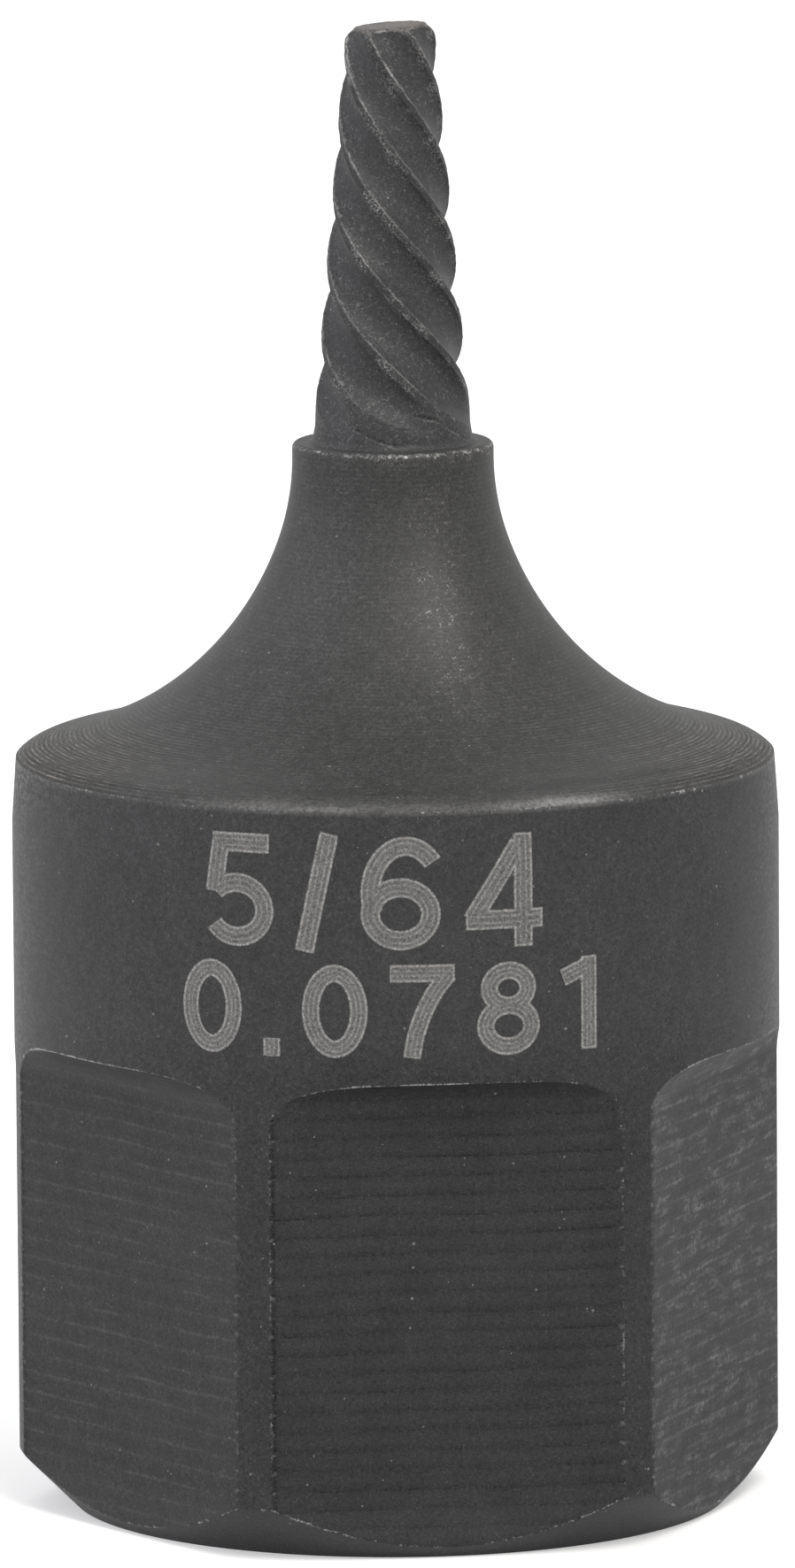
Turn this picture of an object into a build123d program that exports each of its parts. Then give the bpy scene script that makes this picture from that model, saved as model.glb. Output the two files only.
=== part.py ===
"""Screw extractor with a six-flute spiral tip on a hexagon-milled drive body.

Units are millimetres. The axis is Z. The part stands on the open end of its drive
socket at Z = 0, and the middle of one wrench flat faces -Y.
"""

import os
from math import cos, radians, sin, sqrt, tan

from build123d import *

# Drive body
body_diameter = 18.0
across_flats = 16.0
flat_count = 6
flat_length = 10.3
flat_runout_radius = 1.05
base_chamfer = 1.3
shoulder_radius = 1.1
shoulder_edge_angle = 44.0
crown_relief = 0.1
crown_length = 1.5

# Flare between the shoulder and the neck
rim_width = 1.25
rim_slope = 14.5
upper_flare_radius = 5.9
upper_flare_turn = 19.6

# Neck ring
neck_height = 25.1
neck_diameter = 4.72
neck_chamfer = 0.15
neck_land = 0.19

# Tapered tip
tip_length = 9.8
tip_end_diameter = 2.06
tip_base_diameter = 3.745
tip_end_chamfer = 0.22
tip_root_chamfer = 0.1

# Left-hand spiral flutes, of similar section all the way up the taper
flute_count = 6
flute_lead = 10.25
flute_floor_share = 0.82
ridge_land_angle = 9.0
flute_angle_at_end = -48.0
flute_runout_length = 1.25
flute_runout_gap = 0.2
flute_clearance = 0.25

# Sections that each flute's cutter is lofted through
groove_arc = 90.0
section_turn = 22.0
runout_sections = 5

# Female square drive, three eighths of an inch, broached over a drilled pilot hole
drive_across_flats = 9.6
drive_depth = 11.5
drive_corner_radius = 0.4
mouth_diameter = 13.0
pilot_diameter = 9.5
pilot_depth = 12.8
drill_point_angle = 118.0
detent_count = 4
detent_height = 5.2
detent_diameter = 3.4
detent_depth = 0.5

# Cutting tools reach this far past the faces that they open
overrun = 0.5

body_radius = body_diameter / 2
neck_radius = neck_diameter / 2
tip_end_height = neck_height + tip_length
tip_taper = (tip_base_diameter - tip_end_diameter) / 2 / tip_length


def tip_radius(height):
    """Radius of the turned taper at a height above the base."""
    return tip_end_diameter / 2 + (tip_end_height - height) * tip_taper


chamfer_height = tip_end_height - tip_end_chamfer
root_height = neck_height + tip_root_chamfer

# The lower flare takes up the width that the upper flare and the rim leave
flare_turn = 90.0 - rim_slope
upper_flare_width = upper_flare_radius * (1 - cos(radians(upper_flare_turn)))
lower_flare_width = body_radius - rim_width - neck_radius - upper_flare_width
lower_flare_radius = lower_flare_width / (cos(radians(upper_flare_turn)) - cos(radians(flare_turn)))

# Straight run of the rim, from the flare to the shoulder rounding. The rounding ends at an
# edge, below which the body widens a little to its full diameter
shoulder_turn = flare_turn - shoulder_edge_angle
shoulder_reach = shoulder_radius * (cos(radians(shoulder_edge_angle)) - sin(radians(rim_slope)))
rim_run = (rim_width - crown_relief - shoulder_reach) / cos(radians(rim_slope))

with BuildPart() as flat_cutter:
    with BuildSketch(Plane.XZ):
        with BuildLine():
            face_line = Line((across_flats / 2, -overrun), (across_flats / 2, flat_length))
            runout = JernArc(face_line @ 1, (0, 1), flat_runout_radius, -90)
            Polyline(
                runout @ 1,
                (body_radius + flat_runout_radius, flat_length + flat_runout_radius),
                (body_radius + flat_runout_radius, -overrun),
                face_line @ 0,
            )
        make_face()
    extrude(amount=body_radius, both=True)

# Each flute is ground full depth down to the run-out, then the wheel lifts on an arc
half_pitch = 180.0 / flute_count
half_opening = radians(half_pitch - ridge_land_angle / 2)
flute_bottom = neck_height + flute_runout_gap
runout_top = flute_bottom + flute_runout_length
flute_top = tip_end_height + overrun
runout_lift = tip_radius(neck_height) * (1 - flute_floor_share) + flute_clearance
wheel_radius = (flute_runout_length**2 + runout_lift**2) / (2 * runout_lift)
full_depth_sections = max(3, round((flute_top - runout_top) / flute_lead * 360 / section_turn))
section_heights = [
    flute_top + (runout_top - flute_top) * step / full_depth_sections
    for step in range(full_depth_sections)
] + [
    runout_top - flute_runout_length * step / runout_sections
    for step in range(runout_sections + 1)
]

with BuildPart() as flute_cutter:
    for height in section_heights:
        radius = tip_radius(height)
        floor = radius * flute_floor_share
        sagitta = radius * cos(half_opening) - floor
        section_radius = ((radius * sin(half_opening)) ** 2 + sagitta**2) / (2 * sagitta)
        below = max(0.0, runout_top - height)
        lift = wheel_radius - sqrt(wheel_radius**2 - below**2)
        turn = flute_angle_at_end + (tip_end_height - height) * 360 / flute_lead
        with BuildSketch(Plane.XY.offset(height).rotated((0, 0, turn))):
            with BuildLine():
                groove = CenterArc(
                    (floor + section_radius + lift, 0),
                    section_radius,
                    180 - groove_arc / 2,
                    groove_arc,
                )
                Line(groove @ 1, groove @ 0)
            make_face()
    loft()

with BuildPart() as screw_extractor:
    with BuildSketch(Plane.XZ):
        with BuildLine():
            neck = Polyline(
                (0, tip_end_height),
                (tip_radius(chamfer_height) - tip_end_chamfer, tip_end_height),
                (tip_radius(chamfer_height), chamfer_height),
                (tip_radius(root_height), root_height),
                (tip_radius(root_height) + tip_root_chamfer, neck_height),
                (neck_radius - neck_chamfer, neck_height),
                (neck_radius, neck_height - neck_chamfer),
                (neck_radius, neck_height - neck_chamfer - neck_land),
            )
            upper_flare = JernArc(neck @ 1, (0, -1), upper_flare_radius, upper_flare_turn)
            lower_flare = JernArc(
                upper_flare @ 1,
                upper_flare % 1,
                lower_flare_radius,
                flare_turn - upper_flare_turn,
            )
            rim = Line(lower_flare @ 1, lower_flare @ 1 + (lower_flare % 1) * rim_run)
            shoulder = JernArc(rim @ 1, rim % 1, shoulder_radius, -shoulder_turn)
            Polyline(
                shoulder @ 1,
                (body_radius, (shoulder @ 1).Y - crown_length),
                (body_radius, base_chamfer),
                (body_radius - base_chamfer, 0),
                (0, 0),
                (0, tip_end_height),
            )
        make_face()
    revolve(axis=Axis.Z)

    with PolarLocations(0, flat_count, start_angle=-90):
        add(flat_cutter.part, mode=Mode.SUBTRACT)
    with PolarLocations(0, flute_count):
        add(flute_cutter.part, mode=Mode.SUBTRACT)

    # Broached square over the pilot hole, with a countersunk mouth
    with BuildSketch(Plane.XY):
        RectangleRounded(drive_across_flats, drive_across_flats, drive_corner_radius)
    extrude(amount=drive_depth, mode=Mode.SUBTRACT)
    with BuildSketch(Plane.XZ):
        with BuildLine():
            mouth_depth = (mouth_diameter - pilot_diameter) / 2
            drill_point_height = pilot_diameter / 2 / tan(radians(drill_point_angle / 2))
            Polyline(
                (0, 0),
                (mouth_diameter / 2, 0),
                (pilot_diameter / 2, mouth_depth),
                (pilot_diameter / 2, pilot_depth),
                (0, pilot_depth + drill_point_height),
                (0, 0),
            )
        make_face()
    revolve(axis=Axis.Z, mode=Mode.SUBTRACT)

    # Recesses that the square drive's detent ball springs into, one in each wall
    with Locations((0, 0, detent_height)):
        with PolarLocations(0, detent_count):
            Cylinder(
                detent_diameter / 2,
                drive_across_flats / 2 + detent_depth,
                rotation=(0, 90, 0),
                align=(Align.CENTER, Align.CENTER, Align.MIN),
                mode=Mode.SUBTRACT,
            )

screw_extractor.part.label = "screw_extractor"
os.makedirs("parts", exist_ok=True)
export_step(screw_extractor.part, "parts/screw_extractor.step")
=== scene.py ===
"""Looks of the screw extractor.

Sizes are in millimetres until a mesh is made, and Blender gets metres. Angles are in
degrees. The axis is Z, and the middle of one wrench flat faces -Y.
"""

from types import SimpleNamespace

import bpy
import numpy as np
from mathutils import Matrix, Vector, noise


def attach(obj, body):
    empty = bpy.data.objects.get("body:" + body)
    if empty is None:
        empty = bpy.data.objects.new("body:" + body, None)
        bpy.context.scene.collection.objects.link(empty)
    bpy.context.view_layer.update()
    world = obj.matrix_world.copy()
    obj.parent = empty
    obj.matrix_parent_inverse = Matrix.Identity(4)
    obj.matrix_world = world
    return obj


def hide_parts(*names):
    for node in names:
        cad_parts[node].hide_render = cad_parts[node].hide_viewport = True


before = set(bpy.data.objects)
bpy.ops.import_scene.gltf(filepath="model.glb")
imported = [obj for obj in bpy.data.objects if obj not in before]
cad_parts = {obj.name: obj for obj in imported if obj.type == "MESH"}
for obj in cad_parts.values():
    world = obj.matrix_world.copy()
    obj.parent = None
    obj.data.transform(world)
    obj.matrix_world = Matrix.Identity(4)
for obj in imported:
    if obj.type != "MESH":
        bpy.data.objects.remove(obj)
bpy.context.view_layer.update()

MM = 0.001
NODE = "screw_extractor"

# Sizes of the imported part, whose shape the skin repeats: its drive body
BODY_RADIUS = 9.0
FLAT_REACH = 8.0
FLAT_COUNT = 6
FLAT_PITCH = 360.0 / FLAT_COUNT
FLAT_EDGE_ANGLE = np.degrees(np.arccos(FLAT_REACH / BODY_RADIUS))
FLAT_LENGTH = 10.3
RUNOUT_RADIUS = 1.05
BASE_RADIUS = 7.7
SHOULDER_RADIUS = 1.1
SHOULDER_EDGE_ANGLE = 44.0
CROWN_RELIEF = 0.1
CROWN_LENGTH = 1.5
SOCKET_TOP = 16.0

# Its flare and neck ring
RIM_WIDTH = 1.25
RIM_SLOPE = 14.5
UPPER_FLARE_RADIUS = 5.9
UPPER_FLARE_TURN = 19.6
NECK_RADIUS = 2.36
NECK_HEIGHT = 25.1
NECK_ROUNDING = 0.15
NECK_LAND = 0.19
NECK_FACE_RADII = (2.05, 2.1, 2.16)

# Its tapered tip with left-hand flutes
TIP_LENGTH = 9.8
TIP_END_HEIGHT = NECK_HEIGHT + TIP_LENGTH
TIP_END_RADIUS = 1.03
TIP_BASE_RADIUS = 1.8725
TIP_TAPER = (TIP_BASE_RADIUS - TIP_END_RADIUS) / TIP_LENGTH
TIP_END_CHAMFER = 0.22
TIP_ROOT_CHAMFER = 0.1
FLUTE_COUNT = 6
FLUTE_PITCH = 360.0 / FLUTE_COUNT
FLUTE_LEAD = 10.25
FLUTE_FLOOR_SHARE = 0.82
LAND_ANGLE = 9.0
FLUTE_ANGLE_AT_END = -48.0
FLUTE_BOTTOM = 25.3
RUNOUT_LENGTH = 1.25
FLUTE_CLEARANCE = 0.25

# Where a cut has ended, its surface counts as this far from the axis
UNCUT_RADIUS = 4 * BODY_RADIUS

# Least height of a flat's run-out, for the columns that it doesn't reach
LEAST_RUNOUT = 0.12

# Edges that are sharper than this are shaded as edges
SHARP_ANGLE = 38.0

# Cosine of the slope at which the ridges cross the tip
RIDGE_SLANT = 0.74

# Widths over which worn edges are rounded, and sizes of the bruises
CHAMFER_WEAR = 0.06
FLAT_WEAR = 0.03
RIDGE_WEAR = 0.012
RUNOUT_WEAR = 0.3
END_WEAR = 0.1
ROOT_WEAR = 0.03
RIDGE_BRUISE = 0.016
END_BRUISE = 0.02
END_FACE_BUMP = 0.012
END_CHAMFER_SLOPE = 1.05
END_TILT = 0.07
END_RISE = 0.06

# Widths of the lines along which edges are rubbed bright
FLAT_LINE = 0.03
CHAMFER_LINE = 0.035
SHOULDER_LINE = 0.05
RUBBED_LINE = 0.022
NECK_LINE = 0.09
RIDGE_LINE = 0.06

# Rings of the tip's end face: each one's share of the edge's radius, and its drop
END_FACE_RINGS = (
    (0.97, 0.028),
    (0.93, 0.012),
    (0.87, 0.004),
    (0.75, 0.0),
    (0.6, 0.0),
    (0.4, 0.0),
    (0.2, 0.0),
)

# Middle of the side that the photograph shows
FRONT_ANGLE = -98.07

# How lit the milling lines of each flat are painted, from the front one round to the right: at 0
# they are painted shadow dashes, and higher values give painted highlight lines, a darker
# coating and scuffs. And how worn its top edge is
FLAT_SHINE = (0.0, 1.0, 0.5, 0.3, 0.55, 0.7)
FLAT_TOP_WEAR = (0.68, 0.6, 0.55, 0.5, 0.6, 0.95)

# Stretches round the axis whose finish differs, or where light or shade is painted: the angle of
# each one's middle from the front, its half width and how much it differs
# Rubbed bright along the shoulder's edge, with a painted highlight on its rounding
RUBBED_EDGE = ((-17.93, 13.0, 0.24), (2.07, 14.0, 0.1), (26.07, 10.0, 0.5), (173.07, 15.0, 0.3))
SCRATCHED_EDGE = ((-48.0, 5.0, 1.0), (50.0, 7.0, 0.7))
KEPT_TOP_EDGE = ((-32.0, 14.0, 0.4),)
# Painted shade on one side of the body
DULL_SIDE = ((72.0, 24.0, 0.28),)
# Painted shade under the front flat's run-out
STAINED_FOOT = ((3.0, 28.0, 0.42),)
# Painted light on the front of the bottom chamfer, in place of light from the floor
PALE_CHAMFER = ((5.0, 24.0, 0.75),)
# Scuffs and painted sheen near the shoulder, at a side seen edge-on from the front
SCUFFED_CORNER = ((-80.0, 14.0, 0.8),)
# Painted shade in a crevice of the rim
CREVICE = ((47.0, 11.0, 0.7),)
# Painted highlight with burnishing on a patch of the flare
BURNISHED_FLARE = ((19.07, 9.0, 1.0),)
WORN_NECK = ((10.0, 35.0, 1.0),)

# Middles of other marks, several of them painted light or shade: angles from the front, heights,
# and radii from the axis
# Scuffs and painted sheen, most at the sides seen edge-on from the front
SCUFFED_SIDE = 87.0
# Painted sheen on the flare's far flanks
RINGED_SIDE = 76.0
# Height of the painted shade under the front flat's run-out
STAIN_HEIGHT = 11.5
# Height of the painted highlight with burnishing on the flare
BURNISHED_HEIGHT = 21.6
# Radius of the painted shade in the rim's crevice
CREVICE_RADIUS = 8.15
NECK_EDGE_RADIUS = 2.345
NECK_EDGE_HEIGHT = 25.04

# Size marking: text, cap height, height of its foot, stroke width, letter width and gap, and
# its middle's angle
MARKING = (
    ("5/64", 2.66, 14.5, 0.47, 1.13, 0.2, FRONT_ANGLE - 3.9),
    ("0.0781", 2.2, 11.98, 0.43, 1.15, 0.21, FRONT_ANGLE - 1.15),
)
MARKING_CELL = 0.034
MARKING_PROUD = 0.006

# Spacing of the lines that the milling cutter, the turning tool and the laser left
MILLING_PITCH = 0.46
TURNING_PITCH = 0.115
TURNING_SWELL = 0.43
ETCHING_PITCH = 0.12

# Bands of height in which painted light and shade change the coating's lightness: lighter on the
# bottom chamfer, darker on the lower body and lighter on the upper flare. Where each starts and
# ends, and what it adds below and above
HEIGHT_TONES = ((0.9, 1.6, 0.2, 0.0), (10.6, 12.4, -0.13, 0.0), (18.8, 22.0, -0.05, 0.2))

# Values at each point of the steel, which its material reads
STEEL_VALUES = (
    "wear",  # worn bare along an edge, in broken stretches
    "polish",  # rubbed bright without a break, and a painted highlight on the shoulder's rounding
    "brink",  # beside a flat's upright edge, which milling lines notch
    "dark",  # how much darker than the rest of the coating, partly painted shade
    "milled",  # 1 on a wrench flat
    "shine",  # how lit that flat's milling lines are painted
    "turned",  # how marked by turning rings, above 0 only on the flare, and above 1 under the painted sheen of the far flanks
    "upright",  # how marked by scuffs and painted sheen, above the chamfer and beside the flats
    "along",  # distance along the profile, for rings and milling lines
    "speckle",  # how many bare specks, and on the flare also a painted highlight
    "rough",  # how bruised
)

# Those and the marking's own, which says how far inside its stroke a point lies
VALUES = (*STEEL_VALUES, "depth")


def cosd(angle):
    return np.cos(np.radians(angle))


def sind(angle):
    return np.sin(np.radians(angle))


def smooth_min(a, b, width):
    """The lesser of a and b, rounded where they lie within a width of each other."""
    share = np.clip(0.5 + 0.5 * (b - a) / width, 0.0, 1.0)
    return b * (1 - share) + a * share - width * share * (1 - share)


def bell(distance, width):
    """1 at no distance, falling away over the width."""
    return np.exp(-((distance / width) ** 2))


def ramp(value, low, high):
    """0 up to a low value, and 1 from a high one on."""
    return np.clip((value - low) / (high - low), 0.0, 1.0)


def steps(low, high, count):
    """Even steps from a height, left out, up to another."""
    return [low + (high - low) * i / count for i in range(1, count + 1)]


def rough_noise(x, y, z, size, seed=0.0):
    """Smooth noise of a feature size, from -1 to 1, at arrays of points."""
    flat = np.broadcast_arrays(x, y, z)
    found = [
        noise.noise(Vector((a / size + seed, b / size - seed, c / size + 2 * seed)))
        for a, b, c in zip(*(part.ravel() for part in flat))
    ]
    return np.array(found).reshape(flat[0].shape)


def from_front(angle):
    """Angle round the axis from the front, from -180 to 180."""
    return (angle - FRONT_ANGLE + 180.0) % 360.0 - 180.0


def stretches(angle, places):
    """How much the finish differs at angles round the axis."""
    return sum(much * bell(from_front(angle - middle), half) for middle, half, much in places)


class Skin:
    """Rings of points joined into one surface, with named values at each point."""

    def __init__(self):
        self.points = []
        self.faces = []
        self.values = {name: [] for name in VALUES}

    def ring(self, x, y, z, **values):
        """Adds points and returns their numbers."""
        x, y, z = np.broadcast_arrays(x, y, z)
        first = len(self.points)
        self.points.extend(zip(x, y, z))
        for name, kept in self.values.items():
            kept.extend(np.broadcast_to(values.get(name, 0.0), x.shape))
        return np.arange(first, first + len(x))

    def band(self, lower, upper):
        """Joins two rings of as many points, both counter-clockwise from above."""
        ends = np.stack([lower, np.roll(lower, -1), np.roll(upper, -1), upper], -1)
        self.faces.extend(map(tuple, ends.tolist()))

    def stack(self, rings):
        """Joins rings of as many points, from the lowest up, and returns the last."""
        for lower, upper in zip(rings, rings[1:]):
            self.band(lower, upper)
        return rings[-1]

    def lace(self, outer, inner):
        """Joins two rings of any numbers of points, by their angles round the axis."""
        angles = [self.angles(ring) for ring in (outer, inner)]
        orders = [np.argsort(found) for found in angles]
        outer, inner = outer[orders[0]], inner[orders[1]]
        a, b = angles[0][orders[0]], angles[1][orders[1]]
        a, b = np.append(a, a[0] + 360), np.append(b, b[0] + 360)
        i = j = 0
        while i < len(outer) or j < len(inner):
            here, there = outer[i % len(outer)], inner[j % len(inner)]
            if j >= len(inner) or (i < len(outer) and a[i + 1] <= b[j + 1]):
                self.faces.append((int(here), int(outer[(i + 1) % len(outer)]), int(there)))
                i += 1
            else:
                self.faces.append((int(here), int(inner[(j + 1) % len(inner)]), int(there)))
                j += 1

    def angles(self, ring):
        points = np.array([self.points[i] for i in ring])
        return np.degrees(np.arctan2(points[:, 1], points[:, 0])) % 360

    def close(self, ring, x, y, z, **values):
        """Fills a ring to one point in its middle."""
        middle = int(self.ring([x], [y], [z], **values)[0])
        around = np.roll(ring, -1)
        self.faces.extend((int(a), int(b), middle) for a, b in zip(ring, around))

    def add_mesh(self, mesh, wanted, **values):
        """Copies the polygons that wanted() accepts from a mesh in metres."""
        places = np.zeros(len(mesh.vertices) * 3)
        mesh.vertices.foreach_get("co", places)
        places = places.reshape(-1, 3) / MM
        polygons = [list(face.vertices) for face in mesh.polygons]
        kept = [face for face in polygons if wanted(places[face])]
        corners = places[[i for face in kept for i in face]]
        keys, numbers = np.unique(np.round(corners, 4), axis=0, return_inverse=True)
        numbers = self.ring(keys[:, 0], keys[:, 1], keys[:, 2], **values)[numbers.ravel()]
        start = 0
        for face in kept:
            self.faces.append(tuple(numbers[start : start + len(face)].tolist()))
            start += len(face)

    def mesh(self, name):
        made = bpy.data.meshes.new(name)
        made.from_pydata((np.array(self.points) * MM).tolist(), [], self.faces)
        for key, kept in self.values.items():
            layer = made.attributes.new(key, "FLOAT", "POINT")
            layer.data.foreach_set("value", np.array(kept, np.float32))
        made.validate()
        made.shade_smooth()
        made.set_sharp_from_angle(angle=np.radians(SHARP_ANGLE))
        return made

    def piece(self, name):
        """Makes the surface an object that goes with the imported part."""
        made = bpy.data.objects.new(name, self.mesh(name))
        bpy.context.scene.collection.objects.link(made)
        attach(made, "root")
        return made


# Drive body


def body_columns():
    """Angles round the body, with each column's angle from its nearest flat's middle."""
    offsets = np.array([-1.3, -0.8, -0.45, -0.2, -0.07, 0.07, 0.2, 0.45, 0.9, 1.7])
    near = FLAT_EDGE_ANGLE + offsets
    middle = np.linspace(-near[0], near[0], 33)[1:-1]
    sector = np.concatenate([[-FLAT_PITCH / 2], -near[::-1], middle, near])
    turns = -90.0 + FLAT_PITCH * np.arange(FLAT_COUNT)
    angle = (turns[:, None] + sector[None, :]).ravel()
    return angle, np.tile(sector, FLAT_COUNT)


def crown_radius(z, crown_foot):
    """Radius of the turned body, a little smaller towards the shoulder's edge."""
    return BODY_RADIUS - CROWN_RELIEF * ramp(z, crown_foot, crown_foot + CROWN_LENGTH)


def flat_distance(z):
    """How far from the axis the milled cut's face is, at a height."""
    above = np.clip(z - FLAT_LENGTH, 0.0, None)
    inside = RUNOUT_RADIUS**2 - above**2
    runout = FLAT_REACH + RUNOUT_RADIUS - np.sqrt(np.clip(inside, 0.0, None))
    return np.where(inside > 0, runout, UNCUT_RADIUS)


def wall_heights(chamfer_top, runout, crown_foot, edge_height):
    """Heights of the wall's rings, which follow the chamfer's and the flats' edges."""
    heights = [chamfer_top * share for share in (0.0, 0.2, 0.4, 0.6, 0.75, 0.87, 0.95, 1.0)]
    heights += [chamfer_top + step for step in (0.03, 0.07, 0.13, 0.25)]
    heights += steps(heights[-1], FLAT_LENGTH, 24)
    heights += [FLAT_LENGTH + runout * sind(turn) for turn in steps(0.0, 90.0, 13)]
    heights += [FLAT_LENGTH + runout + step for step in (0.02, 0.05, 0.1, 0.2)]
    heights += steps(heights[-1], crown_foot, 6)
    return heights + steps(crown_foot, edge_height, 12)


def wall_looks(z, angle, from_flat, chamfer_top, flat_top, edge_height):
    """Wear, finish, and painted light and shade of a ring of the wall."""
    shine = np.repeat(FLAT_SHINE, len(angle) // FLAT_COUNT)
    top_wear = np.repeat(FLAT_TOP_WEAR, len(angle) // FLAT_COUNT)
    above_chamfer, below_top = z > chamfer_top, z < flat_top
    beside = above_chamfer & below_top
    inside = np.abs(from_flat) < FLAT_EDGE_ANGLE
    corner = ramp(np.abs(from_flat), 16.0, 24.0)
    from_edge = BODY_RADIUS * np.radians(np.abs(from_flat) - FLAT_EDGE_ANGLE)

    side = bell(from_edge, FLAT_LINE) * beside * np.where(shine == 0.0, 0.26, 0.17)
    top = bell(z - flat_top, FLAT_LINE) * inside * (1.0 - 0.45 * corner) * top_wear
    top = top * (1.0 - stretches(angle, KEPT_TOP_EDGE))
    lower = bell(z - chamfer_top, CHAMFER_LINE) * (0.36 + 0.16 * corner)
    edge = bell(z - edge_height, SHOULDER_LINE) * (0.3 + 0.5 * stretches(angle, SCRATCHED_EDGE))

    groove = bell(from_edge + 0.06, 0.05) * beside * (from_flat < 0)
    corner_band = ~inside & above_chamfer & (z < FLAT_LENGTH)
    # Painted shade under the front flat's run-out
    stain = stretches(angle, STAINED_FOOT) * bell(z - STAIN_HEIGHT, 0.65)
    # Painted light on the front of the bottom chamfer
    pale = stretches(angle, PALE_CHAMFER) * (z < chamfer_top)
    # Darker corner bands and grooves by the flats' edges, painted shade on one side and under
    # the front run-out, less the painted light on the chamfer
    dark = 0.8 * groove + 0.12 * corner_band + stretches(angle, DULL_SIDE) + stain - pale

    # Scuffs with painted sheen at the sides seen edge-on from the front
    from_side = np.abs(from_front(angle)) - SCUFFED_SIDE
    before, behind = 0.1 + 0.75 * bell(from_side, 14.0), 0.25 + 0.6 * bell(from_side, 34.0)
    scuffed = np.where(from_side < 0.0, before, behind)
    scuffed = scuffed + stretches(angle, SCUFFED_CORNER) * bell(z - edge_height, 0.7)
    # Partly a painted highlight along the shoulder's edge
    rubbed = 0.1 + 0.4 * stretches(angle, RUBBED_EDGE)
    return {
        "wear": np.maximum.reduce([side, top, lower, edge]),
        "polish": bell(z - edge_height, RUBBED_LINE) * rubbed,
        "brink": bell(from_edge + 0.02, 0.06) * beside,
        "dark": dark,
        "upright": scuffed * np.where(inside & below_top, 0.0, above_chamfer),
        "milled": inside & below_top & (z > chamfer_top - 0.01),
        "shine": shine,
        "along": z,
        "speckle": 0.3,
    }


def body_wall(skin, crown_foot, edge_height):
    """Bottom chamfer, wrench flats with their run-outs, and the cylinder above them."""
    angle, from_flat = body_columns()
    leaning = cosd(from_flat)
    chamfer_top = np.minimum(FLAT_REACH / leaning, BODY_RADIUS) - BASE_RADIUS
    chord = RUNOUT_RADIUS - (np.maximum(BODY_RADIUS * leaning, FLAT_REACH) - FLAT_REACH)
    rise = np.sqrt(np.clip(RUNOUT_RADIUS**2 - chord**2, 0.0, None))
    flat_top = FLAT_LENGTH + rise
    runout = np.maximum(rise, LEAST_RUNOUT)
    rings = []
    for z in wall_heights(chamfer_top, runout, crown_foot, edge_height):
        radius = smooth_min(BASE_RADIUS + z, crown_radius(z, crown_foot), CHAMFER_WEAR)
        radius = smooth_min(radius, flat_distance(z) / leaning, FLAT_WEAR)
        radius = np.where(z == 0.0, BASE_RADIUS, radius)
        looks = wall_looks(z, angle, from_flat, chamfer_top, flat_top, edge_height)
        rings.append(skin.ring(radius * cosd(angle), radius * sind(angle), z, **looks))
    return skin.stack(rings), angle


# Flare and neck ring


def flare_profile():
    """Radii and heights from the shoulder's edge up to the neck's top face."""
    turn = 90.0 - RIM_SLOPE
    upper_foot = NECK_HEIGHT - NECK_ROUNDING - NECK_LAND
    upper = np.linspace(0.0, UPPER_FLARE_TURN, 17)
    upper_r = NECK_RADIUS + UPPER_FLARE_RADIUS * (1 - cosd(upper))
    upper_z = upper_foot - UPPER_FLARE_RADIUS * sind(upper)
    width = BODY_RADIUS - RIM_WIDTH - upper_r[-1]
    lower_radius = width / (cosd(UPPER_FLARE_TURN) - cosd(turn))
    lower = np.linspace(UPPER_FLARE_TURN, turn, 47)[1:]
    lower_r = upper_r[-1] + lower_radius * (cosd(UPPER_FLARE_TURN) - cosd(lower))
    lower_z = upper_z[-1] - lower_radius * (sind(lower) - sind(UPPER_FLARE_TURN))
    edge_r = BODY_RADIUS - CROWN_RELIEF
    steep = np.linspace(RIM_SLOPE, 90.0 - SHOULDER_EDGE_ANGLE, 19)
    shoulder_r = edge_r - SHOULDER_RADIUS * (sind(steep[-1]) - sind(steep))
    fall = (shoulder_r[0] - lower_r[-1]) * sind(RIM_SLOPE) / cosd(RIM_SLOPE)
    shoulder_z = lower_z[-1] - fall - SHOULDER_RADIUS * (cosd(RIM_SLOPE) - cosd(steep))
    share = np.array([0.25, 0.5, 0.75])
    rim_r = lower_r[-1] + (shoulder_r[0] - lower_r[-1]) * share
    rim_z = lower_z[-1] - fall * share
    around = np.linspace(90.0, 0.0, 9)
    ring_r = NECK_RADIUS - NECK_ROUNDING * (1 - cosd(around))
    ring_z = NECK_HEIGHT - NECK_ROUNDING * (1 - sind(around))
    face_z = np.full(len(NECK_FACE_RADII), NECK_HEIGHT)
    radii = np.concatenate([NECK_FACE_RADII, ring_r, upper_r[1:], lower_r, rim_r, shoulder_r])
    heights = np.concatenate([face_z, ring_z, upper_z[1:], lower_z, rim_z, shoulder_z])
    return radii[::-1], heights[::-1]


def flare_looks(radius, height, angle, edge_height):
    """Wear, finish, and painted light and shade of a ring of the flare."""
    off = np.abs(from_front(angle))
    neck = bell(np.hypot(radius - NECK_EDGE_RADIUS, height - NECK_EDGE_HEIGHT), NECK_LINE)
    front = stretches(angle, WORN_NECK)
    # Painted highlight and rubbing on the shoulder's rounding
    glow = bell(height - edge_height - 0.04, 0.13) * stretches(angle, RUBBED_EDGE)
    flank = ramp(off, 15.0, 55.0) * ramp(radius, 4.5, 6.5)
    # Painted sheen on the flank near each side seen edge-on
    far_flank = bell(off - RINGED_SIDE, 26.0) * ramp(radius, 6.0, 8.0)
    # Painted highlight with burnishing on a patch
    burnished = stretches(angle, BURNISHED_FLARE) * bell(height - BURNISHED_HEIGHT, 1.7)
    return {
        "wear": neck * (0.33 + 0.22 * front),
        "polish": np.maximum(glow, 0.08 * neck * front),
        # Painted shade in a crevice of the rim
        "dark": bell(radius - CREVICE_RADIUS, 0.22) * (0.25 + stretches(angle, CREVICE)),
        "turned": 0.35 + 0.65 * flank + 0.9 * far_flank,
        "speckle": 0.55 + burnished,
    }


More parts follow.
